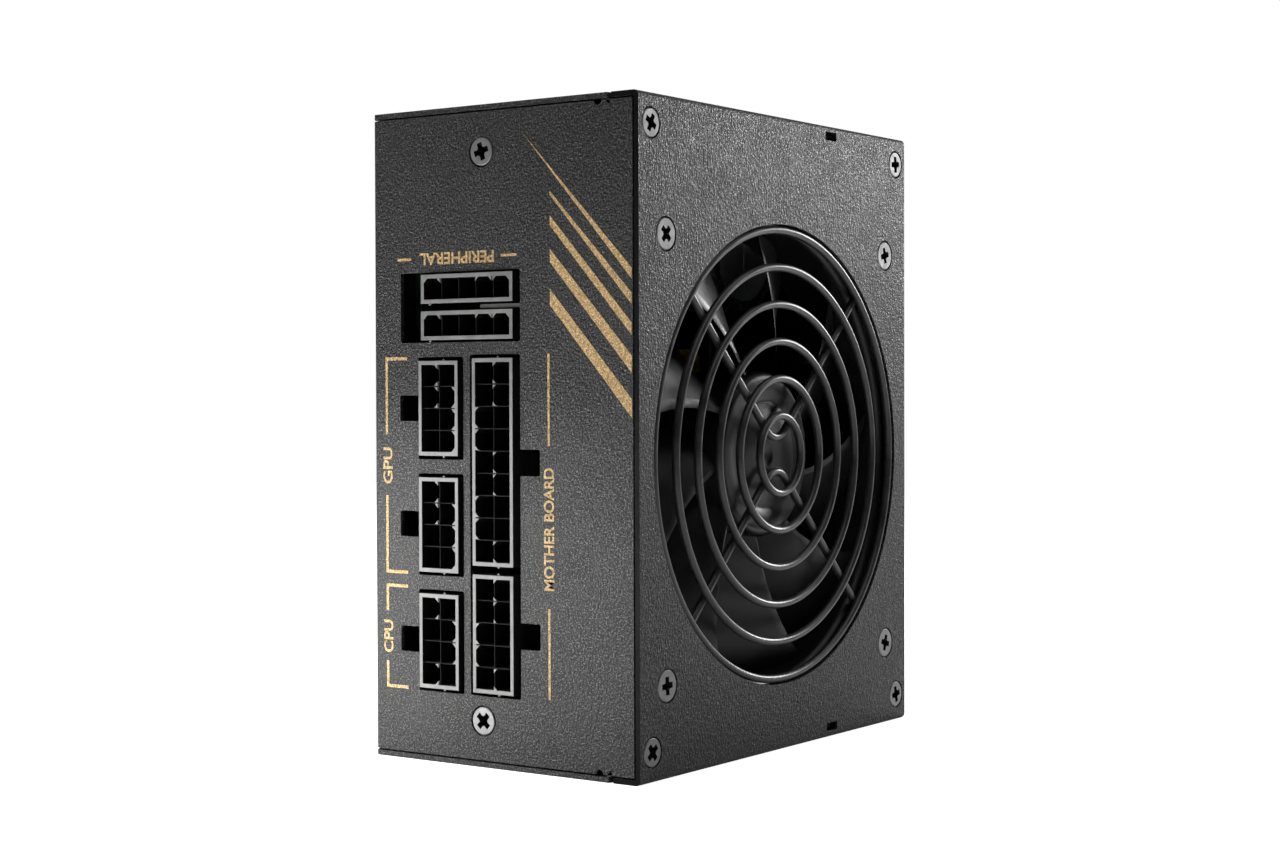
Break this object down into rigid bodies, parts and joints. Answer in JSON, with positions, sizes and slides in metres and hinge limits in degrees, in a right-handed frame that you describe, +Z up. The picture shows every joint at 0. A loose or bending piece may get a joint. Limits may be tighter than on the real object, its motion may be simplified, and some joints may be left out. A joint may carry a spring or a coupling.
{
  "type": "power supply unit",
  "caption": "Compact modular computer power supply in a bent-sheet case, with a cooling fan behind a wire guard, rows of output sockets, a mains inlet and a rocker switch.",
  "frame": {"origin": "on the floor under the middle of the unit's bounding box, inlet bezel and rocker counted in", "axes": "+Z up along the 125 mm side on which it stands, +X out of the fan side, -Y out of the socket panel, +Y out of the mains inlet panel"},
  "size_m": [0.0636, 0.1042, 0.125],
  "materials": {
    "case_paint": "fine-textured charcoal powder coat",
    "screw_steel": "bright zinc plate",
    "guard_wire": "glossy black coated wire",
    "fan_plastic": "satin black",
    "socket_plastic": "black with pale-catching rims",
    "inlet_plastic": "black satin",
    "rocker_plastic": "black gloss",
    "steel": "ground",
    "brass": "plated",
    "copper": "enamelled copper wire",
    "ferrite": "dull ferrite grey",
    "circuit_board": "green solder mask",
    "insulating_film": "thin polymer film",
    "aluminium": "extruded",
    "winding_tape": "yellow polyester tape",
    "capacitor_sleeve": "shrink sleeve"
  },
  "bodies": {
    "case": {"case_shell": "case_paint", "inlet_panel": "case_paint", "upper_end_plate": "case_paint", "lower_end_plate": "case_paint", "fan_cover": "case_paint", "cover_screw_1": "screw_steel", "cover_screw_2": "screw_steel", "cover_screw_3": "screw_steel", "cover_screw_4": "screw_steel", "fan_screw_1": "screw_steel", "fan_screw_2": "screw_steel", "fan_screw_3": "screw_steel", "fan_screw_4": "screw_steel", "socket_panel_screw_1": "screw_steel", "socket_panel_screw_2": "screw_steel", "inlet_panel_screw_1": "screw_steel", "inlet_panel_screw_2": "screw_steel", "wire_guard": "guard_wire", "fan_frame": "fan_plastic", "fan_bearing": "brass", "fan_stator": "copper", "fan_circuit": "circuit_board", "cpu_socket": "socket_plastic", "gpu_socket_lower": "socket_plastic", "gpu_socket_upper": "socket_plastic", "board_socket_short": "socket_plastic", "board_socket_long": "socket_plastic", "peripheral_socket_lower": "socket_plastic", "peripheral_socket_upper": "socket_plastic", "inlet_body": "inlet_plastic", "inlet_pin_line": "brass", "inlet_pin_neutral": "brass", "inlet_pin_earth": "brass", "switch_frame": "inlet_plastic", "main_board": "circuit_board", "socket_board": "circuit_board", "control_board": "circuit_board", "insulating_sheet": "insulating_film", "board_standoff_1": "brass", "board_standoff_2": "brass", "board_standoff_3": "brass", "board_standoff_4": "brass", "secondary_heatsink": "aluminium", "primary_heatsink": "aluminium", "main_transformer": "winding_tape", "standby_transformer": "winding_tape", "pfc_inductor": "ferrite", "bulk_capacitor": "capacitor_sleeve", "output_capacitor_1": "capacitor_sleeve", "output_capacitor_2": "capacitor_sleeve", "filter_choke": "copper", "output_inductor": "copper", "x_capacitor": "winding_tape", "bridge_rectifier": "fan_plastic", "fuse": "steel"},
    "rotor": {"fan_rotor": "fan_plastic", "rotor_magnet": "ferrite", "rotor_shaft": "steel"},
    "rocker": {"switch_rocker": "rocker_plastic"}
  },
  "joints": [
    {"name": "fan_spin", "type": "hinge", "parent": "case", "child": "rotor", "pos_m": [0.02, -0.00127, 0.0584], "axis": [1, 0, 0], "continuous": true},
    {"name": "switch_rock", "type": "hinge", "parent": "case", "child": "rocker", "pos_m": [0, 0.04723, 0.06], "axis": [0, 0, 1], "range_deg": [0, 20]}
  ]
}
